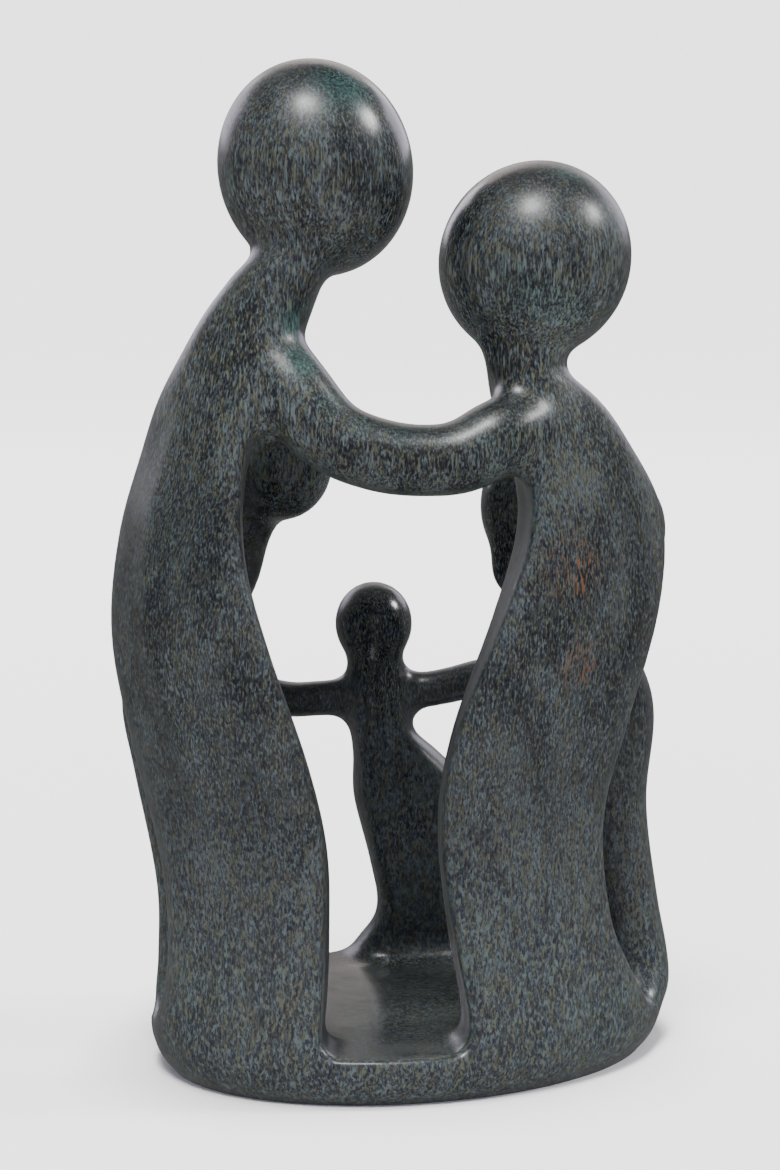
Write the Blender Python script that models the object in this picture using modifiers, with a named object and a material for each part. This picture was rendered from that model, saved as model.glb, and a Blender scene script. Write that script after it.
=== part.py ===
"""Family group carved from one block of green serpentine: two parents and three children in a ring.

The figures are standing planks of stone with their backs turned outwards. Their arms run on into
each other round the ring, their heads are plain ovals, and all of them grow out of one oval base.
Sizes are in millimetres and the model is in metres, with +Z up. The ring's axis is at X = Y = 0, the
underside is at Z = 0, and the opening between the parents faces -Y.
A bearing is an angle round the ring's axis, in degrees: 0 is -Y and 90 is +X. A reach is how far out
something lies, as a share of the base's own outline at that bearing.
"""
import math
from collections import namedtuple

import bmesh
import bpy
from mathutils import Matrix, Vector

MM = 0.001

# The base: an oval slab with a rounded edge, dished a little inside the ring.
BASE_LENGTH = 153.0
BASE_WIDTH = 119.0
BASE_TURN = 26.0
FLOOR_HEIGHT = 14.0
FLOOR_DISH = 1.5
# The side curves in to the foot by FOOT_TUCK over its lowest FOOT_RISE, and the floor's rim is rounded.
FOOT_TUCK = 8.0
FOOT_RISE = 15.0
LIP_RADIUS = 3.0

LEFT_PARENT_HEIGHT = 281.5
RIGHT_PARENT_HEIGHT = 254.5
LEFT_CHILD_HEIGHT = 183.6
RIGHT_CHILD_HEIGHT = 174.0
MIDDLE_CHILD_HEIGHT = 128.0

PARENT_THICKNESS = 25.0
CHILD_THICKNESS = 18.0

# How square a plank's section is, where 2 is an oval: it keeps its arrises up to one share of the
# figure's height, and is round by another, at the neck.
PARENT_SQUARENESS = 9.0
CHILD_SQUARENESS = 3.6
NECK_SQUARENESS = 2.2
CRISP_UP_TO = 0.58
ROUND_FROM = 0.78
# How far the creases between the forms are eased.
CREASE_RADIUS = 3.0

# How finely the forms are drawn, and how they are joined, polished and faceted.
SECTION_POINTS = 72
LEVEL_STEP = 3.0
ARM_STEPS = 8
ARM_RESOLUTION = 8
HEAD_SEGMENTS = 48
HEAD_RINGS = 32
EDGE_STEPS = 6
FLOOR_RINGS = 6
SAW_ALLOWANCE = 6.0
WELD = 0.01
STONE_GRAIN = 1.3
POLISH_STEPS = 7
POLISH_DEPTH = 0.5
FACET_SHARE = 0.033

Level = namedtuple("Level", "height start end reach thickness splay", defaults=(0.0,))
Head = namedtuple("Head", "bearing reach width height tilt")
Figure = namedtuple("Figure", "height thickness squareness head levels")

# A level's height is a share of its figure's, and its thickness a share of the plank's. A splay turns
# the inner arris of its start away from the outer one, in degrees, so that an opening runs straight back.
LEFT_PARENT = Figure(
    LEFT_PARENT_HEIGHT, PARENT_THICKNESS, PARENT_SQUARENESS, Head(-48, 0.464, 53.0, 59.3, -13), [
        Level(0.000, -22, -72, 0.91, 1.0, 11),
        Level(0.045, -21, -74, 1.00, 1.0, 10),
        Level(0.090, -20.5, -67, 1.00, 1.0, 9),
        Level(0.160, -20, -66, 0.99, 1.0, 9),
        Level(0.240, -19, -69, 1.01, 1.0, 10),
        Level(0.320, -20.5, -76, 1.06, 1.0, 12),
        Level(0.440, -27, -84, 1.13, 1.0, 14),
        Level(0.540, -33.5, -84, 1.095, 1.0, 17),
        Level(0.630, -36.5, -82, 1.00, 1.0, 18),
        Level(0.710, -35, -68, 0.935, 1.0, 8),
        Level(0.790, -32, -58, 0.84, 0.95),
        Level(0.840, -23, -44, 0.74, 0.85),
    ])
RIGHT_PARENT = Figure(
    RIGHT_PARENT_HEIGHT, PARENT_THICKNESS, PARENT_SQUARENESS, Head(54.5, 0.662, 51.9, 54.7, 32), [
        Level(0.000, 16, 78, 0.91, 1.0, 8),
        Level(0.050, 15.5, 84, 1.00, 1.0, 7),
        Level(0.100, 15, 76, 1.00, 1.0, 6),
        Level(0.170, 12, 67, 0.98, 1.0, 4),
        Level(0.290, 7.5, 63, 0.98, 1.0, 4),
        Level(0.390, 9.5, 68, 1.03, 1.0, 7),
        Level(0.520, 21, 77, 1.08, 1.0, 12),
        Level(0.620, 30.5, 81, 1.05, 1.0, 15),
        Level(0.700, 33, 72.5, 0.985, 1.0, 10),
        Level(0.750, 33, 64, 0.935, 0.95, 2),
        Level(0.800, 30, 46, 0.87, 0.75),
    ])
LEFT_CHILD = Figure(
    LEFT_CHILD_HEIGHT, CHILD_THICKNESS, CHILD_SQUARENESS, Head(-108, 0.58, 30.2, 33.0, 0), [
        Level(0.000, -84, -128, 0.90, 1.0),
        Level(0.070, -82, -130, 1.01, 1.0),
        Level(0.130, -88, -124, 1.03, 1.0),
        Level(0.250, -90, -122, 1.04, 1.0),
        Level(0.440, -90, -122, 1.13, 1.0),
        Level(0.540, -92, -122, 1.19, 1.0),
        Level(0.620, -95, -122, 1.17, 1.0),
        Level(0.720, -97, -122, 1.02, 1.0),
        Level(0.800, -98, -119, 0.86, 0.8),
        Level(0.850, -98, -118, 0.74, 0.8),
    ])
MIDDLE_CHILD = Figure(
    MIDDLE_CHILD_HEIGHT, CHILD_THICKNESS, CHILD_SQUARENESS, Head(-167, 0.77, 23.3, 25.2, 0), [
        Level(0.000, 150, 202, 0.91, 1.0),
        Level(0.120, 152, 199, 1.00, 0.95),
        Level(0.210, 156, 191, 0.95, 0.9),
        Level(0.340, 157, 194, 0.92, 0.9),
        Level(0.500, 160, 200, 0.92, 0.9),
        Level(0.590, 170, 200, 0.91, 0.9),
        Level(0.660, 180, 201.5, 0.90, 0.85),
        Level(0.820, 182, 203, 0.88, 0.75),
    ])
RIGHT_CHILD = Figure(
    RIGHT_CHILD_HEIGHT, CHILD_THICKNESS, CHILD_SQUARENESS, Head(109, 0.49, 31.0, 38.0, 0), [
        Level(0.000, 88, 128, 0.91, 1.0),
        Level(0.080, 86, 130, 1.02, 1.0),
        Level(0.140, 91, 124, 1.02, 1.0),
        Level(0.230, 92, 122, 0.98, 1.0),
        Level(0.400, 92, 122, 0.93, 1.0),
        Level(0.560, 92, 122, 0.955, 1.0),
        Level(0.660, 92, 122, 0.86, 1.0),
        Level(0.760, 92, 122, 0.64, 1.25),
        Level(0.830, 92, 122, 0.585, 1.15),
    ])

# Arms: the two figures that each one joins, and the points that it runs through.
# A point is a bearing, a reach, a height as a share of the two figures' mean height, and a radius.
Arm = namedtuple("Arm", "figures points")
ARMS = [
    Arm((LEFT_PARENT, RIGHT_PARENT), [
        (-47.5, 0.74, 0.766, 10.8),
        (-35.5, 0.77, 0.722, 11.2),
        (-23, 0.79, 0.679, 10.2),
        (-9, 0.79, 0.660, 10.0),
        (4, 0.805, 0.655, 9.8),
        (16, 0.825, 0.658, 10.0),
        (29, 0.84, 0.677, 10.5),
        (46.5, 0.80, 0.690, 8.9),
    ]),
    Arm((LEFT_PARENT, LEFT_CHILD), [
        (-77, 0.82, 0.740, 9.0),
        (-88, 0.91, 0.688, 8.0),
        (-98, 0.97, 0.632, 7.5),
        (-106, 0.95, 0.559, 8.0),
    ]),
    Arm((RIGHT_PARENT, RIGHT_CHILD), [
        (75, 0.80, 0.776, 9.0),
        (87, 0.90, 0.724, 7.0),
        (95, 0.88, 0.663, 7.0),
        (104, 0.77, 0.579, 8.0),
    ]),
    Arm((LEFT_CHILD, MIDDLE_CHILD), [
        (-111, 1.04, 0.719, 8.0),
        (-125, 1.00, 0.635, 6.5),
        (-139, 0.94, 0.598, 5.6),
        (-151, 0.90, 0.594, 5.5),
        (-168, 0.83, 0.597, 5.7),
    ]),
    Arm((RIGHT_CHILD, MIDDLE_CHILD), [
        (114, 0.77, 0.742, 8.0),
        (134, 0.74, 0.689, 6.5),
        (157, 0.76, 0.652, 5.8),
        (171, 0.78, 0.630, 5.6),
        (192, 0.83, 0.616, 5.7),
    ]),
]


def outline_radius(bearing):
    """How far the base's outline lies from the axis at a bearing in degrees."""
    angle = math.radians(bearing - BASE_TURN) - math.pi / 2
    along = math.cos(angle) / (BASE_LENGTH / 2)
    across = math.sin(angle) / (BASE_WIDTH / 2)
    return 1 / math.hypot(along, across)


def ring_point(bearing, reach, inward=0.0):
    """A point at a bearing and a reach, and then inward towards the axis by so many millimetres."""
    angle = math.radians(bearing)
    radius = outline_radius(bearing) * reach - inward
    return Vector((math.sin(angle) * radius, -math.cos(angle) * radius))


def smoothed(rows, step):
    """The rows with more between them on a smooth curve, about step apart in their first value."""
    dense = []
    for i in range(len(rows) - 1):
        start, end = rows[i], rows[i + 1]
        before, after = rows[max(i - 1, 0)], rows[min(i + 2, len(rows) - 1)]
        span = end[0] - start[0]
        count = max(1, round(span / step))
        for k in range(count):
            t = k / count
            row = []
            for a, b, c, d in zip(before, start, end, after):
                leaving = (c - a) / (end[0] - before[0]) * span
                arriving = (d - b) / (after[0] - start[0]) * span
                curve = b + t * leaving + t**2 * (3 * (c - b) - 2 * leaving - arriving)
                row.append(curve + t**3 * (2 * (b - c) + leaving + arriving))
            dense.append(row)
    dense.append(list(rows[-1]))
    return dense


def loft(rings):
    """A closed bmesh through rings of equally many points, with a cap at each end."""
    bm = bmesh.new()
    loops = [[bm.verts.new(point * MM) for point in ring] for ring in rings]
    for low, high in zip(loops, loops[1:]):
        for k in range(len(low)):
            after = (k + 1) % len(low)
            bm.faces.new((low[k], low[after], high[after], high[k]))
    bm.faces.new(reversed(loops[0]))
    bm.faces.new(loops[-1])
    bmesh.ops.recalc_face_normals(bm, faces=bm.faces)
    return bm


def body(figure):
    """A standing body: at each level a plank of stone that follows the ring, with rounded ends."""
    rows = [(lv.height * figure.height, *lv[1:]) for lv in figure.levels]
    rings = []
    for height, start, end, reach, thickness, splay in smoothed(rows, LEVEL_STEP):
        depth = thickness * figure.thickness
        middle, half = (start + end) / 2, (end - start) / 2
        softness = (height / figure.height - CRISP_UP_TO) / (ROUND_FROM - CRISP_UP_TO)
        softness = min(max(softness, 0.0), 1.0)
        power = 2 / (figure.squareness + (NECK_SQUARENESS - figure.squareness) * softness)
        ring = []
        for k in range(SECTION_POINTS):
            angle = 2 * math.pi * k / SECTION_POINTS
            along = math.copysign(abs(math.cos(angle)) ** power, math.cos(angle))
            through = math.copysign(abs(math.sin(angle)) ** power, math.sin(angle))
            inward = (1 - through) / 2
            turned = math.copysign(splay, half) * inward * (1 - along) / 2
            point = ring_point(middle + half * along + turned, reach, depth * inward)
            ring.append(point.to_3d() + Vector((0, 0, height)))
        rings.append(ring)
    return loft(rings)


def head(figure):
    """A plain oval head, at the top of its figure."""
    shape = figure.head
    bm = bmesh.new()
    bmesh.ops.create_uvsphere(bm, u_segments=HEAD_SEGMENTS, v_segments=HEAD_RINGS, radius=MM)
    size = Matrix.Diagonal((shape.width / 2, shape.width / 2, shape.height / 2, 1))
    turn = Matrix.Rotation(math.radians(shape.tilt), 4, "Y")
    centre = ring_point(shape.bearing, shape.reach).to_3d()
    centre.z = figure.height - shape.height / 2
    bmesh.ops.transform(bm, matrix=Matrix.Translation(centre * MM) @ turn @ size, verts=bm.verts)
    return bm


def arm(shape):
    """A rounded arm along a smooth curve from one figure to the next, thicker where it leaves them."""
    mean_height = sum(figure.height for figure in shape.figures) / len(shape.figures)
    curve = bpy.data.curves.new("arm", "CURVE")
    curve.dimensions = "3D"
    curve.bevel_depth = MM
    curve.bevel_resolution = ARM_RESOLUTION
    curve.use_fill_caps = True
    route = smoothed([(i, *point) for i, point in enumerate(shape.points)], 1 / ARM_STEPS)
    spline = curve.splines.new("POLY")
    spline.points.add(len(route) - 1)
    for spot, (_, bearing, reach, share, radius) in zip(spline.points, route):
        place = ring_point(bearing, reach)
        spot.co = (place.x * MM, place.y * MM, share * mean_height * MM, 1)
        spot.radius = radius
    holder = bpy.data.objects.new("arm", curve)
    bpy.context.scene.collection.objects.link(holder)
    graph = bpy.context.evaluated_depsgraph_get()
    mesh = bpy.data.meshes.new_from_object(holder.evaluated_get(graph))
    bpy.data.objects.remove(holder)
    bpy.data.curves.remove(curve)
    bm = bmesh.new()
    bm.from_mesh(mesh)
    bpy.data.meshes.remove(mesh)
    bmesh.ops.remove_doubles(bm, verts=bm.verts, dist=WELD * MM)
    return bm


def base():
    """The oval slab, tucked in at the foot and rounded over at the floor, which is dished."""
    rings = [base_ring(-SAW_ALLOWANCE, 1.0, FOOT_TUCK)]
    for k in range(EDGE_STEPS + 1):
        angle = math.pi / 2 * k / EDGE_STEPS
        rings.append(base_ring(FOOT_RISE * (1 - math.cos(angle)), 1.0, FOOT_TUCK * (1 - math.sin(angle))))
    for k in range(EDGE_STEPS + 1):
        angle = math.pi / 2 * k / EDGE_STEPS
        rise = FLOOR_HEIGHT - LIP_RADIUS * (1 - math.sin(angle))
        rings.append(base_ring(rise, 1.0, LIP_RADIUS * (1 - math.cos(angle))))
    for k in range(1, FLOOR_RINGS):
        share = 1 - k / FLOOR_RINGS
        rings.append(base_ring(FLOOR_HEIGHT - FLOOR_DISH * (1 - share**2), share, 0.0))
    return loft(rings)


def base_ring(height, reach, inward):
    """The base's outline at a height."""
    lift = Vector((0, 0, height))
    bearings = [360 * k / SECTION_POINTS for k in range(SECTION_POINTS)]
    return [ring_point(bearing, reach, inward).to_3d() + lift for bearing in bearings]


def clear_scene():
    """Removes whatever objects the file starts with."""
    for obj in list(bpy.data.objects):
        bpy.data.objects.remove(obj, do_unlink=True)


def collection(name):
    """A new collection of the scene."""
    group = bpy.data.collections.new(name)
    bpy.context.scene.collection.children.link(group)
    return group


def stone_material():
    """Dark green serpentine, polished and waxed."""
    material = bpy.data.materials.new("polished serpentine")
    material.use_nodes = True
    shader = material.node_tree.nodes["Principled BSDF"]
    shader.inputs["Base Color"].default_value = (0.022, 0.030, 0.028, 1.0)
    shader.inputs["Roughness"].default_value = 0.3
    shader.inputs["Metallic"].default_value = 0.0
    return material


def overlapping_forms():
    """The base, bodies, heads and arms in one mesh, still overlapping where they meet."""
    figures = (LEFT_PARENT, RIGHT_PARENT, LEFT_CHILD, MIDDLE_CHILD, RIGHT_CHILD)
    forms = [base()]
    forms += [body(figure) for figure in figures]
    forms += [head(figure) for figure in figures]
    forms += [arm(shape) for shape in ARMS]
    whole = bmesh.new()
    for bm in forms:
        form = bpy.data.meshes.new("form")
        bm.to_mesh(form)
        bm.free()
        whole.from_mesh(form)
        bpy.data.meshes.remove(form)
    mesh = bpy.data.meshes.new("family_group")
    whole.to_mesh(mesh)
    whole.free()
    return mesh


def ground_cutter():
    """A box whose top is the plane that the group stands on."""
    span = 2 * BASE_LENGTH * MM
    bm = bmesh.new()
    bmesh.ops.create_cube(bm, size=span)
    mesh = bpy.data.meshes.new("ground_cut")
    bm.to_mesh(mesh)
    bm.free()
    cutter = bpy.data.objects.new("ground_cut", mesh)
    cutter.location.z = -span / 2
    cutter.hide_render = True
    cutter.display_type = "WIRE"
    return cutter


def polish(group, name):
    """Rubs the stone smooth."""
    rub = group.modifiers.new(name, "SMOOTH")
    rub.factor = POLISH_DEPTH
    rub.iterations = POLISH_STEPS


def carve(group, cutter):
    """Joins the forms into one stone, eases the creases, polishes it and saws its underside flat."""
    for name, offset in (("join", CREASE_RADIUS), ("ease", -CREASE_RADIUS)):
        even = group.modifiers.new(name, "REMESH")
        even.mode = "VOXEL"
        even.voxel_size = STONE_GRAIN * MM
        even.use_smooth_shade = True
        polish(group, name + " smooth")
        skin = group.modifiers.new(name + " by offset", "DISPLACE")
        skin.mid_level = 0.0
        skin.strength = offset * MM
    polish(group, "polish")
    facets = group.modifiers.new("facets", "DECIMATE")
    facets.ratio = FACET_SHARE
    saw = group.modifiers.new("flat underside", "BOOLEAN")
    saw.operation = "DIFFERENCE"
    saw.solver = "EXACT"
    saw.object = cutter


def main():
    clear_scene()
    mesh = overlapping_forms()
    mesh.materials.append(stone_material())
    group = bpy.data.objects.new("family_group", mesh)
    cutter = ground_cutter()
    collection("family group sculpture").objects.link(group)
    collection("cutters").objects.link(cutter)
    carve(group, cutter)


if __name__ == "__main__":
    main()
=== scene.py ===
import logging
import math
from dataclasses import dataclass, field
from enum import Enum
from typing import Any, Dict, List, Optional, Sequence, Tuple

import bmesh
import bpy
from mathutils import Matrix, Vector


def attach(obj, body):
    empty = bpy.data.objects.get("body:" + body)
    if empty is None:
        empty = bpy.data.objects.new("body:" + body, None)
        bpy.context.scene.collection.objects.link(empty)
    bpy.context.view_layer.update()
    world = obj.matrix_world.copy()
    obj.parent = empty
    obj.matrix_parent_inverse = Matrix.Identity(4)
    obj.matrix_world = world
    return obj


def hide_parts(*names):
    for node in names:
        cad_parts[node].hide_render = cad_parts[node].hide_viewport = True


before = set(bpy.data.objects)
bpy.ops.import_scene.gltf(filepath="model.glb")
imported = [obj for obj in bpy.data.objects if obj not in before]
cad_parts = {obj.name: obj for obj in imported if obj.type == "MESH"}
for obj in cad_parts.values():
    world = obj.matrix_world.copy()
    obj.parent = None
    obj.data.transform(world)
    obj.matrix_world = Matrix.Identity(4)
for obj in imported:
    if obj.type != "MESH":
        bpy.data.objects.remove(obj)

MM = 0.001
# The ends of a curve's caps are welded within this, in millimetres.
WELD = 0.01
SMOOTH = {"interpolation_type": "SMOOTHSTEP"}
IMAGE_WIDTH, IMAGE_HEIGHT = 780, 1170

log = logging.getLogger("family group")


def linear(hex_colour: str) -> Tuple[float, float, float, float]:
    """Turns an sRGB hex colour into the linear colour that shaders take.

    Args:
        hex_colour: a colour such as "#2A2F35".

    Returns:
        Red, green, blue and an alpha of 1, linear.
    """
    channels = [int(hex_colour[i:i + 2], 16) / 255 for i in (1, 3, 5)]
    red, green, blue = [c / 12.92 if c <= 0.04045 else ((c + 0.055) / 1.055) ** 2.4 for c in channels]
    return red, green, blue, 1.0


def add_node(tree: bpy.types.NodeTree, kind: str, settings: Optional[Dict[str, Any]] = None,
             inputs: Optional[Dict[Any, Any]] = None) -> bpy.types.Node:
    """Adds a node to a tree, with its settings and links.

    Args:
        tree: the tree that takes the node.
        kind: the node's type, such as "ShaderNodeTexNoise".
        settings: the node's own properties, by name.
        inputs: what goes into its input sockets, by name or index. Another node's output is linked,
            and anything else is the socket's own value.

    Returns:
        The new node.
    """
    node = tree.nodes.new(kind)
    for name, value in (settings or {}).items():
        setattr(node, name, value)
    for name, value in (inputs or {}).items():
        if isinstance(value, bpy.types.NodeSocket):
            tree.links.new(value, node.inputs[name])
        else:
            node.inputs[name].default_value = value
    return node


class Gather(Enum):
    """Which way the joined stone's skin is moved, as the creases between its forms are eased."""
    OUTWARD = 1
    INWARD = -1


@dataclass(frozen=True)
class Outline:
    """The base's oval outline, which everything in the ring is placed by.

    A bearing is an angle round the ring's axis in degrees, 0 at -Y and 90 at +X. A reach is how far
    out something lies, as a share of the outline at that bearing. Sizes are in millimetres.
    """
    length: float = 153.0
    width: float = 119.0
    turn: float = 26.0

    def radius(self, bearing: float) -> float:
        """Gives how far the outline lies from the axis at a bearing."""
        angle = math.radians(bearing - self.turn) - math.pi / 2
        return 1 / math.hypot(math.cos(angle) / (self.length / 2), math.sin(angle) / (self.width / 2))

    def point(self, bearing: float, reach: float, inward: float = 0.0, height: float = 0.0) -> Vector:
        """Places a point in the ring.

        Args:
            bearing: its bearing in degrees.
            reach: its share of the outline.
            inward: how far it then lies towards the axis.
            height: how far it lies above the ground.

        Returns:
            The point in millimetres.
        """
        angle = math.radians(bearing)
        radius = self.radius(bearing) * reach - inward
        return Vector((math.sin(angle) * radius, -math.cos(angle) * radius, height))


def smoothed(rows: Sequence[Sequence[float]], step: float) -> List[List[float]]:
    """Puts more rows between the given ones, on a smooth curve through them.

    Args:
        rows: rows of numbers, whose first one rises.
        step: about how far apart the new rows are in their first number.

    Returns:
        The rows, old and new, in order.
    """
    dense: List[List[float]] = []
    for i in range(len(rows) - 1):
        start, end = rows[i], rows[i + 1]
        before, after = rows[max(i - 1, 0)], rows[min(i + 2, len(rows) - 1)]
        span = end[0] - start[0]
        count = max(1, round(span / step))
        for k in range(count):
            t = k / count
            row = []
            for a, b, c, d in zip(before, start, end, after):
                leaving = (c - a) / (end[0] - before[0]) * span
                arriving = (d - b) / (after[0] - start[0]) * span
                curve = b + t * leaving + t**2 * (3 * (c - b) - 2 * leaving - arriving)
                row.append(curve + t**3 * (2 * (b - c) + leaving + arriving))
            dense.append(row)
    dense.append(list(rows[-1]))
    return dense


def loft(rings: Sequence[Sequence[Vector]]) -> bmesh.types.BMesh:
    """Skins a closed form over rings of equally many points.

    Args:
        rings: the rings from the bottom up, in millimetres.

    Returns:
        The form in metres, with a cap at each end.
    """
    bm = bmesh.new()
    loops = [[bm.verts.new(point * MM) for point in ring] for ring in rings]
    for low, high in zip(loops, loops[1:]):
        for k in range(len(low)):
            after = (k + 1) % len(low)
            bm.faces.new((low[k], low[after], high[after], high[k]))
    bm.faces.new(reversed(loops[0]))
    bm.faces.new(loops[-1])
    bmesh.ops.recalc_face_normals(bm, faces=bm.faces)
    return bm


@dataclass(frozen=True)
class Level:
    """A figure's section at one height, as a plank of stone that follows the ring.

    Height is a share of the figure's, start and end are bearings, reach is the outer face's, and
    thickness is a share of the plank's. The splay turns the inner arris of the start away from the
    outer one, in degrees, so that the opening beside it runs straight back.
    """
    height: float
    start: float
    end: float
    reach: float
    thickness: float
    splay: float = 0.0


@dataclass(frozen=True)
class HeadShape:
    """A plain oval head: where its middle lies in the ring, its size, and its lean in degrees."""
    bearing: float
    reach: float
    width: float
    height: float
    lean: float


@dataclass
class Figure:
    """One standing figure, a body with a plain oval head.

    Sizes are in millimetres. The body keeps its arrises up to one share of its height, where its
    section is as square as body_square, and it is round by another, at the neck.
    """
    name: str
    height: float
    thickness: float
    body_square: float
    head: HeadShape
    levels: Tuple[Level, ...]
    outline: Outline = Outline()
    neck_square: float = 2.2
    crisp_up_to: float = 0.58
    round_from: float = 0.78
    section_points: int = 96
    level_step: float = 2.5
    head_segments: int = 96
    head_rings: int = 64

    def squareness(self, height: float) -> float:
        """Gives how square the section is at a height in millimetres, where 2 is an oval."""
        share = (height / self.height - self.crisp_up_to) / (self.round_from - self.crisp_up_to)
        return self.body_square + (self.neck_square - self.body_square) * min(max(share, 0.0), 1.0)

    def section(self, row: Sequence[float]) -> List[Vector]:
        """Draws the body's section at one level.

        Args:
            row: the level's height in millimetres, start, end, reach, thickness and splay.

        Returns:
            The section's points, in order round it.
        """
        height, start, end, reach, thickness, splay = row
        middle, half = (start + end) / 2, (end - start) / 2
        power = 2 / self.squareness(height)
        points = []
        for k in range(self.section_points):
            angle = 2 * math.pi * k / self.section_points
            along = math.copysign(abs(math.cos(angle)) ** power, math.cos(angle))
            through = math.copysign(abs(math.sin(angle)) ** power, math.sin(angle))
            inward = (1 - through) / 2
            turned = math.copysign(splay, half) * inward * (1 - along) / 2
            depth = thickness * self.thickness * inward
            points.append(self.outline.point(middle + half * along + turned, reach, depth, height))
        return points

    def body_form(self) -> bmesh.types.BMesh:
        """Builds the standing body.

        Returns:
            The body as one closed form, through its levels.
        """
        rows = [(level.height * self.height, level.start, level.end, level.reach, level.thickness,
                 level.splay) for level in self.levels]
        return loft([self.section(row) for row in smoothed(rows, self.level_step)])

    def head_form(self) -> bmesh.types.BMesh:
        """Builds the head, at the top of the figure.

        Returns:
            The head as one closed form.
        """
        shape = self.head
        bm = bmesh.new()
        bmesh.ops.create_uvsphere(bm, u_segments=self.head_segments, v_segments=self.head_rings, radius=MM)
        size = Matrix.Diagonal((shape.width / 2, shape.width / 2, shape.height / 2, 1))
        turn = Matrix.Rotation(math.radians(shape.lean), 4, "Y")
        centre = self.outline.point(shape.bearing, shape.reach, 0.0, self.height - shape.height / 2)
        bmesh.ops.transform(bm, matrix=Matrix.Translation(centre * MM) @ turn @ size, verts=bm.verts)
        return bm


@dataclass
class LinkedArm:
    """An arm that runs on from one figure into the next.

    Each point is a bearing, a reach, a height as a share of the two figures' mean height, and a
    radius in millimetres.
    """
    figures: Tuple[Figure, Figure]
    points: Tuple[Tuple[float, float, float, float], ...]
    outline: Outline = Outline()
    steps: int = 10
    roundness: int = 12

    def form(self) -> bmesh.types.BMesh:
        """Builds the arm as a tapering round bar along a smooth curve.

        Returns:
            The arm as one closed form.
        """
        mean_height = sum(figure.height for figure in self.figures) / len(self.figures)
        curve = bpy.data.curves.new("arm", "CURVE")
        curve.dimensions = "3D"
        curve.bevel_depth = MM
        curve.bevel_resolution = self.roundness
        curve.use_fill_caps = True
        route = smoothed([(i, *point) for i, point in enumerate(self.points)], 1 / self.steps)
        spline = curve.splines.new("POLY")
        spline.points.add(len(route) - 1)
        for spot, (_, bearing, reach, share, radius) in zip(spline.points, route):
            place = self.outline.point(bearing, reach, 0.0, share * mean_height) * MM
            spot.co = (*place, 1)
            spot.radius = radius
        holder = bpy.data.objects.new("arm", curve)
        bpy.context.scene.collection.objects.link(holder)
        graph = bpy.context.evaluated_depsgraph_get()
        mesh = bpy.data.meshes.new_from_object(holder.evaluated_get(graph))
        bpy.data.objects.remove(holder)
        bpy.data.curves.remove(curve)
        bm = bmesh.new()
        bm.from_mesh(mesh)
        bpy.data.meshes.remove(mesh)
        bmesh.ops.remove_doubles(bm, verts=bm.verts, dist=WELD * MM)
        return bm


@dataclass
class Base:
    """The oval slab under the figures, tucked in at its foot and dished inside the ring."""
    outline: Outline = Outline()
    floor_height: float = 14.0
    floor_dish: float = 1.5
    foot_tuck: float = 8.0
    foot_rise: float = 15.0
    lip_radius: float = 3.0
    saw_allowance: float = 6.0
    points: int = 144
    edge_steps: int = 10
    floor_rings: int = 10

    def ring(self, height: float, reach: float, inward: float) -> List[Vector]:
        """Draws the outline at a height.

        Args:
            height: the height.
            reach: its share of the outline.
            inward: how far it then lies towards the axis.

        Returns:
            The ring's points, in order round it.
        """
        bearings = [360 * k / self.points for k in range(self.points)]
        return [self.outline.point(bearing, reach, inward, height) for bearing in bearings]

    def form(self) -> bmesh.types.BMesh:
        """Builds the slab.

        Returns:
            The slab as one closed form, which reaches a little below the ground it is sawn at.
        """
        rings = [self.ring(-self.saw_allowance, 1.0, self.foot_tuck)]
        for k in range(self.edge_steps + 1):
            angle = math.pi / 2 * k / self.edge_steps
            rings.append(self.ring(self.foot_rise * (1 - math.cos(angle)), 1.0,
                                   self.foot_tuck * (1 - math.sin(angle))))
        for k in range(self.edge_steps + 1):
            angle = math.pi / 2 * k / self.edge_steps
            rings.append(self.ring(self.floor_height - self.lip_radius * (1 - math.sin(angle)), 1.0,
                                   self.lip_radius * (1 - math.cos(angle))))
        for k in range(1, self.floor_rings):
            share = 1 - k / self.floor_rings
            rings.append(self.ring(self.floor_height - self.floor_dish * (1 - share**2), share, 0.0))
        return loft(rings)


LEFT_PARENT = Figure("left parent", 281.5, 25.0, 9.0, HeadShape(-48, 0.464, 53.0, 59.3, -13), (
    Level(0.000, -22, -72, 0.91, 1.0, 11),
    Level(0.045, -21, -74, 1.00, 1.0, 10),
    Level(0.090, -20.5, -67, 1.00, 1.0, 9),
    Level(0.160, -20, -66, 0.99, 1.0, 9),
    Level(0.240, -19, -69, 1.01, 1.0, 10),
    Level(0.320, -20.5, -76, 1.06, 1.0, 12),
    Level(0.440, -27, -84, 1.13, 1.0, 14),
    Level(0.540, -33.5, -84, 1.095, 1.0, 17),
    Level(0.630, -36.5, -82, 1.00, 1.0, 18),
    Level(0.710, -35, -68, 0.935, 1.0, 8),
    Level(0.790, -32, -58, 0.84, 0.95),
    Level(0.840, -23, -44, 0.74, 0.85),
))
RIGHT_PARENT = Figure("right parent", 254.5, 25.0, 9.0, HeadShape(54.5, 0.662, 51.9, 54.7, 32), (
    Level(0.000, 16, 78, 0.91, 1.0, 8),
    Level(0.050, 15.5, 84, 1.00, 1.0, 7),
    Level(0.100, 15, 76, 1.00, 1.0, 6),
    Level(0.170, 12, 67, 0.98, 1.0, 4),
    Level(0.290, 7.5, 63, 0.98, 1.0, 4),
    Level(0.390, 9.5, 68, 1.03, 1.0, 7),
    Level(0.520, 21, 77, 1.08, 1.0, 12),
    Level(0.620, 30.5, 81, 1.05, 1.0, 15),
    Level(0.700, 33, 72.5, 0.985, 1.0, 10),
    Level(0.750, 33, 64, 0.935, 0.95, 2),
    Level(0.800, 30, 46, 0.87, 0.75),
))
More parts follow.
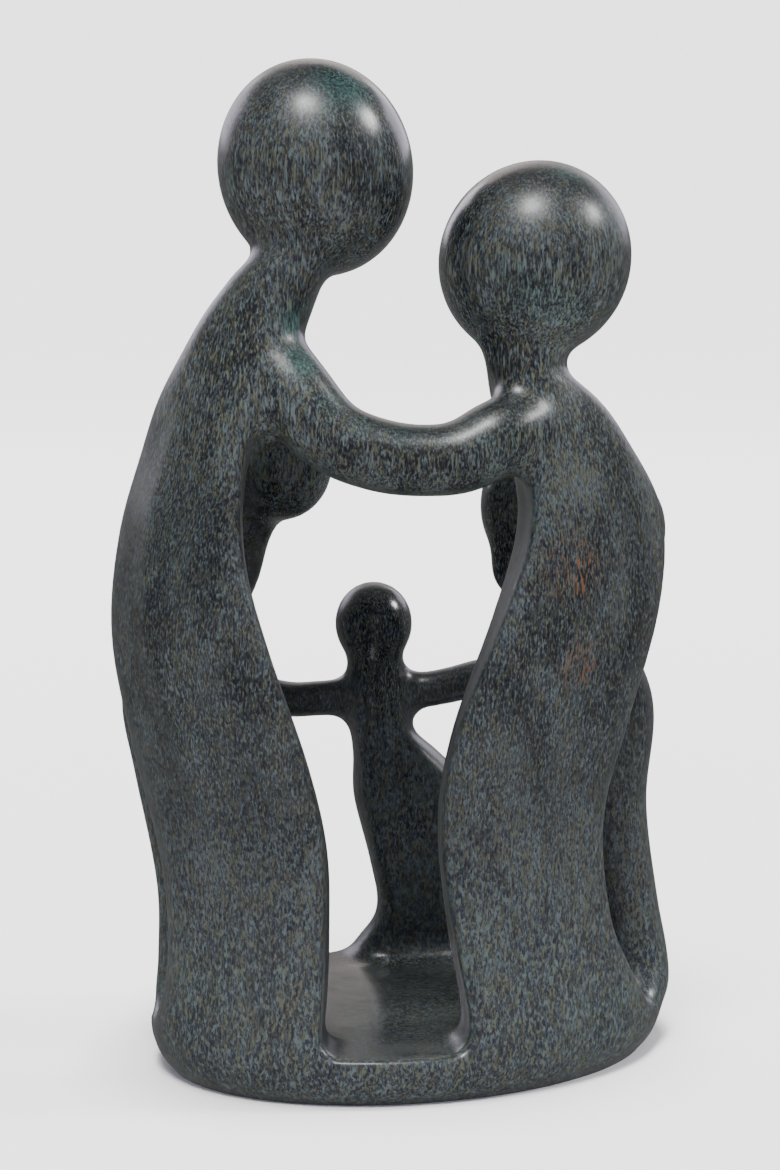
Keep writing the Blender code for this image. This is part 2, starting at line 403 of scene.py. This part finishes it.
LEFT_CHILD = Figure("left child", 183.6, 18.0, 3.6, HeadShape(-108, 0.58, 30.2, 33.0, 0), (
    Level(0.000, -84, -128, 0.90, 1.0),
    Level(0.070, -82, -130, 1.01, 1.0),
    Level(0.130, -88, -124, 1.03, 1.0),
    Level(0.250, -90, -122, 1.04, 1.0),
    Level(0.440, -90, -122, 1.13, 1.0),
    Level(0.540, -92, -122, 1.19, 1.0),
    Level(0.620, -95, -122, 1.17, 1.0),
    Level(0.720, -97, -122, 1.02, 1.0),
    Level(0.800, -98, -119, 0.86, 0.8),
    Level(0.850, -98, -118, 0.74, 0.8),
))
MIDDLE_CHILD = Figure("middle child", 128.0, 18.0, 3.6, HeadShape(-167, 0.77, 23.3, 25.2, 0), (
    Level(0.000, 150, 202, 0.91, 1.0),
    Level(0.120, 152, 199, 1.00, 0.95),
    Level(0.210, 156, 191, 0.95, 0.9),
    Level(0.340, 157, 194, 0.92, 0.9),
    Level(0.500, 160, 200, 0.92, 0.9),
    Level(0.590, 170, 200, 0.91, 0.9),
    Level(0.660, 180, 201.5, 0.90, 0.85),
    Level(0.820, 182, 203, 0.88, 0.75),
))
RIGHT_CHILD = Figure("right child", 174.0, 18.0, 3.6, HeadShape(109, 0.49, 31.0, 38.0, 0), (
    Level(0.000, 88, 128, 0.91, 1.0),
    Level(0.080, 86, 130, 1.02, 1.0),
    Level(0.140, 91, 124, 1.02, 1.0),
    Level(0.230, 92, 122, 0.98, 1.0),
    Level(0.400, 92, 122, 0.93, 1.0),
    Level(0.560, 92, 122, 0.955, 1.0),
    Level(0.660, 92, 122, 0.86, 1.0),
    Level(0.760, 92, 122, 0.64, 1.25),
    Level(0.830, 92, 122, 0.585, 1.15),
))

FIGURES = (LEFT_PARENT, RIGHT_PARENT, LEFT_CHILD, MIDDLE_CHILD, RIGHT_CHILD)
ARMS = (
    LinkedArm((LEFT_PARENT, RIGHT_PARENT), (
        (-47.5, 0.74, 0.766, 10.8),
        (-35.5, 0.77, 0.722, 11.2),
        (-23, 0.79, 0.679, 10.2),
        (-9, 0.79, 0.660, 10.0),
        (4, 0.805, 0.655, 9.8),
        (16, 0.825, 0.658, 10.0),
        (29, 0.84, 0.677, 10.5),
        (46.5, 0.80, 0.690, 8.9),
    )),
    LinkedArm((LEFT_PARENT, LEFT_CHILD), (
        (-77, 0.82, 0.740, 9.0),
        (-88, 0.91, 0.688, 8.0),
        (-98, 0.97, 0.632, 7.5),
        (-106, 0.95, 0.559, 8.0),
    )),
    LinkedArm((RIGHT_PARENT, RIGHT_CHILD), (
        (75, 0.80, 0.776, 9.0),
        (87, 0.90, 0.724, 7.0),
        (95, 0.88, 0.663, 7.0),
        (104, 0.77, 0.579, 8.0),
    )),
    LinkedArm((LEFT_CHILD, MIDDLE_CHILD), (
        (-111, 1.04, 0.719, 8.0),
        (-125, 1.00, 0.635, 6.5),
        (-139, 0.94, 0.598, 5.6),
        (-151, 0.90, 0.594, 5.5),
        (-168, 0.83, 0.597, 5.7),
    )),
    LinkedArm((RIGHT_CHILD, MIDDLE_CHILD), (
        (114, 0.77, 0.742, 8.0),
        (134, 0.74, 0.689, 6.5),
        (157, 0.76, 0.652, 5.8),
        (171, 0.78, 0.630, 5.6),
        (192, 0.83, 0.616, 5.7),
    )),
)


@dataclass(frozen=True)
class Band:
    """A stretch of values, and what its two ends are turned into."""
    start: float
    end: float
    at_start: float = 0.0
    at_end: float = 1.0

    def inputs(self, value: bpy.types.NodeSocket, unit: float = 1.0) -> Dict[str, Any]:
        """Says how a value is turned.

        Args:
            value: the value.
            unit: what the stretch is measured in, such as MM.

        Returns:
            The inputs of the node that turns it.
        """
        return {"Value": value, "From Min": self.start * unit, "From Max": self.end * unit,
                "To Min": self.at_start, "To Max": self.at_end}


@dataclass(frozen=True)
class PolishedSerpentine:
    """Serpentine, rubbed smooth by hand and waxed.

    The eye gets a near-black blue stone, closely grained upright with olive, grey and some teal, a
    little rust, and a soft wax gloss that is never quite even. Teal reflections are painted on the
    heads' tops and along the left parent's neck and arm. Sizes are in millimetres. A band says
    where a pattern starts to show and where it is full.
    """
    name: str = "serpentine, hand-polished and waxed"
    dark_ground: str = "#070812"
    light_ground: str = "#11121D"
    foot_ground: str = "#191B25"
    olive_fleck: str = "#4C4F40"
    pale_fleck: str = "#4C5655"
    # The stone's own teal, and also the colour of the painted teal reflections.
    teal: str = "#35605A"
    rust: str = "#5A3A22"
    # The real grain is under 0.3 mm wide: it is drawn about twice as coarse, so that it shows at all.
    fleck_width: float = 0.65
    fleck_length: float = 4.2
    grain_width: float = 0.5
    grain_length: float = 1.5
    mottle_width: float = 0.9
    mottle_length: float = 1.9
    patch_width: float = 13.0
    patch_length: float = 24.0
    drift_size: float = 40.0
    hue_width: float = 1.5
    hue_length: float = 5.0
    streak_roughness: float = 0.6
    streak_bend: float = 0.25
    fleck_band: Band = Band(0.47, 0.66)
    grain_band: Band = Band(0.40, 0.70, 0.0, 0.75)
    mottle_band: Band = Band(0.46, 0.64, 0.0, 0.85)
    patch_band: Band = Band(0.35, 0.65)
    patch_shift: Band = Band(0.35, 0.65, -0.03, 0.03)
    hue_band: Band = Band(0.42, 0.58)
    drift_band: Band = Band(0.56, 0.72, 0.0, 0.25)
    rust_band: Band = Band(0.54, 0.62)
    # By height: flecks are coarser upwards, round mottling takes over at the foot, heads are darker.
    coarse_band: Band = Band(130.0, 210.0, 0.25, 1.0)
    foot_band: Band = Band(25.0, 130.0, 1.0, 0.0)
    head_band: Band = Band(198.0, 224.0, 1.0, 0.76)
    # Each zone is a spot's X, Y and Z, and how far it reaches. It is full within its core.
    zone_core: float = 0.2
    # The teal zones are painted teal reflections, on the tops of the parents' heads and along the left
    # parent's neck and arm crest.
    teal_reflection_most: float = 0.75
    teal_reflection_zones: Tuple[Tuple[float, float, float, float], ...] = (
        (-19.0, -38.0, 274.0, 13.0), (42.0, -30.0, 251.0, 10.0), (-29.0, -46.0, 212.0, 8.0),
        (-29.0, -50.0, 201.0, 8.0), (-23.0, -52.0, 190.0, 7.0), (-13.0, -54.0, 183.0, 6.0),
        (-3.0, -54.0, 181.0, 6.0))
    rust_zones: Tuple[Tuple[float, float, float, float], ...] = (
        (44.0, -48.0, 146.0, 13.0), (47.0, -48.0, 120.0, 10.0), (-40.0, 44.0, 70.0, 12.0))
    # The roughness by how far off the axis: a little glossier inside the ring than on its outer faces.
    polish_band: Band = Band(38.0, 48.0, 0.22, 0.38)
    uneven_band: Band = Band(0.3, 0.7, -0.04, 0.04)
    # Serpentine's is about 1.56 and wax's about 1.44.
    ior: float = 1.50
    wax_roughness: float = 0.24
    wax_weight: float = 0.12
    wave_length: float = 9.0
    wave_height: float = 0.10
    wave_roughness: float = 0.4

    def streaks(self, tree: bpy.types.NodeTree, place: bpy.types.NodeSocket, width: float, length: float,
                detail: float) -> bpy.types.NodeSocket:
        """Adds an upright grain of one size.

        Args:
            tree: the material's tree.
            place: where on the stone.
            width: how wide a fleck is.
            length: how long a fleck is.
            detail: how many finer layers it has.

        Returns:
            The grain's strength, about 0.5 on average.
        """
        scaled = add_node(tree, "ShaderNodeMapping", inputs={
            "Vector": place, "Scale": (1 / (width * MM), 1 / (width * MM), 1 / (length * MM))})
        noise = add_node(tree, "ShaderNodeTexNoise", inputs={
            "Vector": scaled.outputs["Vector"], "Scale": 1.0, "Detail": detail,
            "Roughness": self.streak_roughness, "Distortion": self.streak_bend})
        return noise.outputs["Fac"]

    def near(self, tree: bpy.types.NodeTree, place: bpy.types.NodeSocket,
             zone: Tuple[float, float, float, float], most: float = 1.0) -> bpy.types.NodeSocket:
        """Fades out from a spot in the stone.

        Args:
            tree: the material's tree.
            place: where on the stone.
            zone: the spot's X, Y and Z, and how far it reaches.
            most: how strong it is at the spot.

        Returns:
            The most at the spot and 0 beyond its reach.
        """
        x, y, z, reach = zone
        distance = add_node(tree, "ShaderNodeVectorMath", {"operation": "DISTANCE"}, {
            0: place, 1: (x * MM, y * MM, z * MM)})
        fade = Band(self.zone_core * reach, reach, most, 0.0)
        faded = add_node(tree, "ShaderNodeMapRange", SMOOTH, fade.inputs(distance.outputs["Value"], MM))
        return faded.outputs["Result"]

    def fleck_share(self, tree: bpy.types.NodeTree, place: bpy.types.NodeSocket,
                    patterns: Dict[str, bpy.types.NodeSocket]) -> bpy.types.NodeSocket:
        """Says where the stone is flecked: streaks above, round mottling below, fine grain all over.

        Args:
            tree: the material's tree.
            place: where on the stone.
            patterns: the stone's patterns, by name.

        Returns:
            How much of the flecks' colour there is.
        """
        shift = add_node(tree, "ShaderNodeMapRange", SMOOTH, self.patch_shift.inputs(patterns["patches"]))
        patchy = add_node(tree, "ShaderNodeMath", {"operation": "ADD"}, {
            0: patterns["flecks"], 1: shift.outputs["Result"]})
        streaked = add_node(tree, "ShaderNodeMapRange", SMOOTH, self.fleck_band.inputs(
            patchy.outputs["Value"]))
        large = add_node(tree, "ShaderNodeMath", {"operation": "MULTIPLY"}, {
            0: streaked.outputs["Result"], 1: patterns["coarse"]})
        mottles = self.streaks(tree, place, self.mottle_width, self.mottle_length, 2.0)
        round_spots = add_node(tree, "ShaderNodeMapRange", SMOOTH, self.mottle_band.inputs(mottles))
        mottled = add_node(tree, "ShaderNodeMath", {"operation": "MULTIPLY"}, {
            0: round_spots.outputs["Result"], 1: patterns["low"]})
        grain = self.streaks(tree, place, self.grain_width, self.grain_length, 3.0)
        patchy_grain = add_node(tree, "ShaderNodeMath", {"operation": "ADD"}, {
            0: grain, 1: shift.outputs["Result"]})
        small = add_node(tree, "ShaderNodeMapRange", SMOOTH, self.grain_band.inputs(
            patchy_grain.outputs["Value"]))
        upright = add_node(tree, "ShaderNodeMath", {"operation": "MAXIMUM"}, {
            0: large.outputs["Value"], 1: small.outputs["Result"]})
        flecked = add_node(tree, "ShaderNodeMath", {"operation": "MAXIMUM"}, {
            0: upright.outputs["Value"], 1: mottled.outputs["Value"]})
        by_height = add_node(tree, "ShaderNodeMapRange", SMOOTH, self.head_band.inputs(
            patterns["height"], MM))
        share = add_node(tree, "ShaderNodeMath", {"operation": "MULTIPLY"}, {
            0: flecked.outputs["Value"], 1: by_height.outputs["Result"]})
        return share.outputs["Value"]

    def colour(self, tree: bpy.types.NodeTree, place: bpy.types.NodeSocket,
               patterns: Dict[str, bpy.types.NodeSocket]) -> bpy.types.NodeSocket:
        """Colours the stone: flecks over its ground, with its own teal, the painted teal reflections and
        the rust zones.

        Args:
            tree: the material's tree.
            place: where on the stone.
            patterns: the stone's patterns, by name.

        Returns:
            The stone's colour.
        """
        patchiness = add_node(tree, "ShaderNodeMapRange", SMOOTH, self.patch_band.inputs(
            patterns["patches"]))
        upper = add_node(tree, "ShaderNodeMix", {"data_type": "RGBA"}, {
            0: patchiness.outputs["Result"], 6: linear(self.dark_ground), 7: linear(self.light_ground)})
        ground = add_node(tree, "ShaderNodeMix", {"data_type": "RGBA"}, {
            0: patterns["low"], 6: upper.outputs[2], 7: linear(self.foot_ground)})
        hues = self.streaks(tree, place, self.hue_width, self.hue_length, 1.0)
        hue_share = add_node(tree, "ShaderNodeMapRange", SMOOTH, self.hue_band.inputs(hues))
        flecks = add_node(tree, "ShaderNodeMix", {"data_type": "RGBA"}, {
            0: hue_share.outputs["Result"], 6: linear(self.olive_fleck), 7: linear(self.pale_fleck)})
        drifts = self.streaks(tree, place, self.drift_size, self.drift_size, 1.0)
        drifted = add_node(tree, "ShaderNodeMapRange", SMOOTH, self.drift_band.inputs(drifts))
        teal_and_reflection_share = add_node(tree, "ShaderNodeMath", {"operation": "MULTIPLY"}, {
            0: drifted.outputs["Result"], 1: patterns["coarse"]})
        # Painted teal reflections, full at spots on the heads' tops and along the left parent's neck and
        # arm.
        for zone in self.teal_reflection_zones:
            teal_and_reflection_share = add_node(tree, "ShaderNodeMath", {"operation": "MAXIMUM"}, {
                0: teal_and_reflection_share.outputs["Value"], 1: self.near(tree, place, zone, self.teal_reflection_most)})
        tinted = add_node(tree, "ShaderNodeMix", {"data_type": "RGBA"}, {
            0: teal_and_reflection_share.outputs["Value"], 6: flecks.outputs[2], 7: linear(self.teal)})
        stone = add_node(tree, "ShaderNodeMix", {"data_type": "RGBA"}, {
            0: self.fleck_share(tree, place, patterns), 6: ground.outputs[2], 7: tinted.outputs[2]})
        rusty = add_node(tree, "ShaderNodeMapRange", SMOOTH, self.rust_band.inputs(patterns["flecks"]))
        for zone in self.rust_zones:
            spots = add_node(tree, "ShaderNodeMath", {"operation": "MULTIPLY"}, {
                0: rusty.outputs["Result"], 1: self.near(tree, place, zone)})
            stone = add_node(tree, "ShaderNodeMix", {"data_type": "RGBA"}, {
                0: spots.outputs["Value"], 6: stone.outputs[2], 7: linear(self.rust)})
        return stone.outputs[2]

    def gloss(self, tree: bpy.types.NodeTree, place: bpy.types.NodeSocket,
              patches: bpy.types.NodeSocket) -> bpy.types.NodeSocket:
        """Sets how rough the polish is, glossier inside the ring and never quite even.

        Args:
            tree: the material's tree.
            place: where on the stone.
            patches: the stone's large patches.

        Returns:
            The roughness.
        """
        plan = add_node(tree, "ShaderNodeVectorMath", {"operation": "MULTIPLY"}, {
            0: place, 1: (1.0, 1.0, 0.0)})
        off_axis = add_node(tree, "ShaderNodeVectorMath", {"operation": "LENGTH"}, {
            0: plan.outputs["Vector"]})
        polish = add_node(tree, "ShaderNodeMapRange", SMOOTH, self.polish_band.inputs(
            off_axis.outputs["Value"], MM))
        uneven = add_node(tree, "ShaderNodeMapRange", SMOOTH, self.uneven_band.inputs(patches))
        rough = add_node(tree, "ShaderNodeMath", {"operation": "ADD"}, {
            0: polish.outputs["Result"], 1: uneven.outputs["Result"]})
        return rough.outputs["Value"]

    def rubbed(self, tree: bpy.types.NodeTree, place: bpy.types.NodeSocket) -> bpy.types.NodeSocket:
        """Makes the surface as wavy as a hand polish leaves it.

        Args:
            tree: the material's tree.
            place: where on the stone.

        Returns:
            The surface's direction.
        """
        waves = add_node(tree, "ShaderNodeTexNoise", inputs={
            "Vector": place, "Scale": 1 / (self.wave_length * MM), "Detail": 1.0,
            "Roughness": self.wave_roughness})
        worn = add_node(tree, "ShaderNodeBump", inputs={
            "Height": waves.outputs["Fac"], "Strength": 1.0, "Distance": self.wave_height * MM})
        return worn.outputs["Normal"]

    def material(self) -> bpy.types.Material:
        """Makes the stone's material.

        Returns:
            The material, with its pattern in the stone's own space.
        """
        made = bpy.data.materials.new(self.name)
        made.use_nodes = True
        tree = made.node_tree
        tree.nodes.clear()
        place = add_node(tree, "ShaderNodeTexCoord").outputs["Object"]
        height = add_node(tree, "ShaderNodeSeparateXYZ", inputs={"Vector": place}).outputs["Z"]
        coarse = add_node(tree, "ShaderNodeMapRange", SMOOTH, self.coarse_band.inputs(height, MM))
        low = add_node(tree, "ShaderNodeMapRange", SMOOTH, self.foot_band.inputs(height, MM))
        patterns = {
            "height": height,
            "coarse": coarse.outputs["Result"],
            "low": low.outputs["Result"],
            "flecks": self.streaks(tree, place, self.fleck_width, self.fleck_length, 2.0),
            "patches": self.streaks(tree, place, self.patch_width, self.patch_length, 3.0),
        }
        shader = add_node(tree, "ShaderNodeBsdfPrincipled", inputs={
            "Base Color": self.colour(tree, place, patterns),
            "Roughness": self.gloss(tree, place, patterns["patches"]),
            "Normal": self.rubbed(tree, place),
            "IOR": self.ior, "Coat Weight": self.wax_weight, "Coat Roughness": self.wax_roughness})
        add_node(tree, "ShaderNodeOutputMaterial", inputs={"Surface": shader.outputs["BSDF"]})
        return made


@dataclass(frozen=True)
class PaperSweep:
    """Matt white paper that the group stands on: pale, with no gloss."""
    name: str = "paper, matt white"
    colour: str = "#F2F2F2"
    roughness: float = 0.9
    sheen: float = 0.1

    def material(self) -> bpy.types.Material:
        """Makes the paper's material.

        Returns:
            The material.
        """
        made = bpy.data.materials.new(self.name)
        made.use_nodes = True
        shader = made.node_tree.nodes["Principled BSDF"]
        shader.inputs["Base Color"].default_value = linear(self.colour)
        shader.inputs["Roughness"].default_value = self.roughness
        shader.inputs["Specular IOR Level"].default_value = self.sheen
        return made


@dataclass
class CarvedGroup:
    """The whole family, carved from one block: its forms joined, eased, polished and sawn flat.

    Sizes are in millimetres. The three rubs are how many strokes the stone gets when its forms are
    joined, when its creases are eased and at the end.
    """
    base: Base = field(default_factory=Base)
    figures: Tuple[Figure, ...] = FIGURES
    arms: Tuple[LinkedArm, ...] = ARMS
    finish: PolishedSerpentine = PolishedSerpentine()
    grain: float = 1.2
    crease_radius: float = 3.0
    joining_rub: int = 5
    easing_rub: int = 16
    last_rub: int = 3
    rub_depth: float = 0.5
    most_faces: int = 180000
    sharp_from: float = 50.0

    def forms(self) -> bpy.types.Mesh:
        """Gathers the base, bodies, heads and arms in one mesh, still overlapping where they meet.

        Returns:
            The mesh.
        """
        forms = [self.base.form()]
        forms += [figure.body_form() for figure in self.figures]
        forms += [figure.head_form() for figure in self.figures]
        forms += [arm.form() for arm in self.arms]
        whole = bmesh.new()
        for bm in forms:
            form = bpy.data.meshes.new("form")
            bm.to_mesh(form)
            bm.free()
            whole.from_mesh(form)
            bpy.data.meshes.remove(form)
        mesh = bpy.data.meshes.new("carved_group")
        whole.to_mesh(mesh)
        whole.free()
        return mesh

    def ground_cutter(self) -> bpy.types.Object:
        """Makes a box whose top is the plane that the group stands on.

        Returns:
            The box.
        """
        span = 2 * self.base.outline.length * MM
        bm = bmesh.new()
        bmesh.ops.create_cube(bm, size=span)
        bmesh.ops.translate(bm, vec=(0, 0, -span / 2), verts=bm.verts)
        mesh = bpy.data.meshes.new("ground_cut")
        bm.to_mesh(mesh)
        bm.free()
        cutter = bpy.data.objects.new("ground_cut", mesh)
        bpy.context.scene.collection.objects.link(cutter)
        return cutter

    def remesh(self, stone: bpy.types.Object, strokes: int) -> None:
        """Gives the stone an even skin and rubs it.

        Args:
            stone: the stone.
            strokes: how often it is rubbed.
        """
        skin = stone.modifiers.new("even skin", "REMESH")
        skin.mode = "VOXEL"
        skin.voxel_size = self.grain * MM
        rub = stone.modifiers.new("rub", "SMOOTH")
        rub.factor = self.rub_depth
        rub.iterations = strokes

    def move_skin(self, stone: bpy.types.Object, way: Gather) -> None:
        """Moves the skin out or in by the crease radius.

        Args:
            stone: the stone.
            way: which way the skin goes.
        """
        skin = stone.modifiers.new("move skin", "DISPLACE")
        skin.mid_level = 0.0
        skin.strength = way.value * self.crease_radius * MM

    def build(self) -> bpy.types.Object:
        """Carves the group.

        Returns:
            The stone, one closed surface with its underside flat on the ground.
        """
        stone = bpy.data.objects.new("carved_group", self.forms())
        bpy.context.scene.collection.objects.link(stone)
        self.remesh(stone, self.joining_rub)
        self.move_skin(stone, Gather.OUTWARD)
        self.remesh(stone, self.easing_rub)
        self.move_skin(stone, Gather.INWARD)
        self.remesh(stone, self.last_rub)
        cutter = self.ground_cutter()
        saw = stone.modifiers.new("flat underside", "BOOLEAN")
        saw.operation = "DIFFERENCE"
        saw.solver = "EXACT"
        saw.object = cutter
        graph = bpy.context.evaluated_depsgraph_get()
        # The even skin is of squares, which are two triangles each.
        triangles = 2 * len(stone.evaluated_get(graph).data.polygons)
        fewer = stone.modifiers.new("fewer faces", "DECIMATE")
        fewer.ratio = min(1.0, self.most_faces / triangles)
        graph = bpy.context.evaluated_depsgraph_get()
        mesh = bpy.data.meshes.new_from_object(stone.evaluated_get(graph))
        uncarved = stone.data
        stone.modifiers.clear()
        stone.data = mesh
        mesh.name = "carved_group"
        bpy.data.meshes.remove(uncarved)
        bpy.data.objects.remove(cutter)
        return stone

    def dress(self, stone: bpy.types.Object) -> None:
        """Gives the stone its finish, and shades it smooth but for the sawn underside.

        Args:
            stone: the stone.
        """
        stone.data.materials.clear()
        stone.data.materials.append(self.finish.material())
        stone.data.shade_smooth()
        stone.data.set_sharp_from_angle(angle=math.radians(self.sharp_from))

    def place(self, stone: bpy.types.Object) -> None:
        """Says what the stone moves with, and hides the part that it stands for.

        Args:
            stone: the stone.
        """
        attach(stone, "root")
        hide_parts("family_group")


class LampKind(Enum):
    """The kinds of lamp: a panel near the group, or a wide soft lamp so far off that it lights evenly."""
    PANEL = "AREA"
    FAR = "SUN"


@dataclass(frozen=True)
class SoftLight:
    """One soft studio lamp, which the camera doesn't see.

    Place and aim are in millimetres. A panel's size is its width and height in millimetres and its
    strength its radiance; a far lamp's size is its angle in degrees and its strength the light it sheds.
    A lamp can light only the paper, and one that doesn't shine leaves no highlight on the polish.
    """
    name: str
    kind: LampKind
    place: Tuple[float, float, float]
    size: Tuple[float, float]
    strength: float
    colour: str = "#FFFFFF"
    aim: Tuple[float, float, float] = (0.0, 0.0, 140.0)
    only_paper: bool = False
    shines: bool = True

    def build(self, paper: bpy.types.Collection) -> bpy.types.Object:
        """Makes the lamp.

        Args:
            paper: what a lamp lights that is only for the paper.

        Returns:
            The lamp's object.
        """
        lamp = bpy.data.lights.new(self.name, self.kind.value)
        lamp.color = linear(self.colour)[:3]
        if self.kind is LampKind.PANEL:
            lamp.shape = "RECTANGLE"
            lamp.size, lamp.size_y = self.size[0] * MM, self.size[1] * MM
            lamp.energy = self.strength * math.pi * lamp.size * lamp.size_y
        else:
            lamp.angle = math.radians(self.size[0])
            lamp.energy = self.strength
        holder = bpy.data.objects.new(self.name, lamp)
        holder.location = Vector(self.place) * MM
        holder.visible_camera = False
        holder.visible_glossy = self.shines
        if self.only_paper:
            holder.light_linking.receiver_collection = paper
        direction = Vector(self.aim) - Vector(self.place)
        holder.rotation_euler = direction.to_track_quat("-Z", "Y").to_euler()
        bpy.context.scene.collection.objects.link(holder)
        return holder


@dataclass
class Studio:
    """The pale floor, the soft lights and the camera at the photograph's angle.

    Sizes are in millimetres, the pitch is in degrees and the focal length is in the photograph's pixels.
    """
    floor_span: float = 400000.0
    paper: PaperSweep = PaperSweep()
    room_light: str = "#FFFFFF"
    room_strength: float = 0.22
    backdrop_strength: float = 2.75
    camera_place: Tuple[float, float, float] = (-5.6, -1000.0, 296.0)
    camera_pitch: float = 9.2
    focal_pixels: float = 3600.0
    sensor_width: float = 36.0
    lights: Tuple[SoftLight, ...] = (
        SoftLight("key", LampKind.FAR, (-100, -366, 1010), (16, 16), 3.8),
        SoftLight("right", LampKind.FAR, (800, 47, 740), (13, 13), 1.9),
        SoftLight("back left", LampKind.PANEL, (-820, 1080, 620), (850, 600), 3.8, "#E9E4F4"),
        SoftLight("back right", LampKind.PANEL, (820, 1080, 620), (850, 600), 3.0, "#E9E4F4"),
        SoftLight("back", LampKind.PANEL, (0, 1500, 1000), (1400, 900), 1.6, "#F1E6E2"),
        SoftLight("paper wash", LampKind.FAR, (0, 0, 1000), (20, 20), 4.4, only_paper=True),
        SoftLight("fill", LampKind.FAR, (0, -1000, 440), (40, 40), 1.4, "#E2E2FF", shines=False),
    )

    def build(self) -> bpy.types.Object:
        """Sets up the studio.

        Returns:
            The floor.
        """
        floor = self.floor()
        paper = bpy.data.collections.new("paper")
        paper.objects.link(floor)
        for light in self.lights:
            light.build(paper)
        self.surroundings()
        self.camera()
        return floor

    def floor(self) -> bpy.types.Object:
        """Lays the paper, which gives light but isn't mirrored in the polish.

        Returns:
            The floor.
        """
        bm = bmesh.new()
        bmesh.ops.create_grid(bm, x_segments=1, y_segments=1, size=self.floor_span / 2 * MM)
        mesh = bpy.data.meshes.new("floor")
        bm.to_mesh(mesh)
        bm.free()
        mesh.materials.append(self.paper.material())
        floor = bpy.data.objects.new("floor", mesh)
        bpy.context.scene.collection.objects.link(floor)
        floor.visible_glossy = False
        return floor

    def surroundings(self) -> None:
        """Fills the room with dim light.

        What the camera sees past the floor is brighter than that light, to be as pale as the floor.
        """
        world = bpy.data.worlds.new("studio")
        world.use_nodes = True
        tree = world.node_tree
        tree.nodes.clear()
        seen = add_node(tree, "ShaderNodeLightPath").outputs["Is Camera Ray"]
        strength = add_node(tree, "ShaderNodeMapRange", inputs={
            "Value": seen, "To Min": self.room_strength, "To Max": self.backdrop_strength})
        background = add_node(tree, "ShaderNodeBackground", inputs={
            "Color": linear(self.room_light), "Strength": strength.outputs["Result"]})
        add_node(tree, "ShaderNodeOutputWorld", inputs={"Surface": background.outputs["Background"]})
        bpy.context.scene.world = world

    def camera(self) -> None:
        """Sets the camera where the photograph was taken from."""
        lens = bpy.data.cameras.new("camera")
        lens.sensor_width = self.sensor_width
        lens.lens = self.focal_pixels / max(IMAGE_WIDTH, IMAGE_HEIGHT) * lens.sensor_width
        lens.clip_end = self.floor_span * MM
        holder = bpy.data.objects.new("camera", lens)
        holder.location = Vector(self.camera_place) * MM
        holder.rotation_euler = (math.radians(90 - self.camera_pitch), 0, 0)
        bpy.context.scene.collection.objects.link(holder)
        bpy.context.scene.camera = holder


def main() -> None:
    """Builds the group and the studio in order."""
    logging.basicConfig(level=logging.INFO, format="%(name)s: %(message)s")
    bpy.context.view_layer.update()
    group = CarvedGroup()
    stone = group.build()
    group.dress(stone)
    group.place(stone)
    log.info("carved_group: %d faces", len(stone.data.polygons))
    Studio().build()
    log.info("floor, lights and camera are set")


if __name__ == "__main__":
    main()
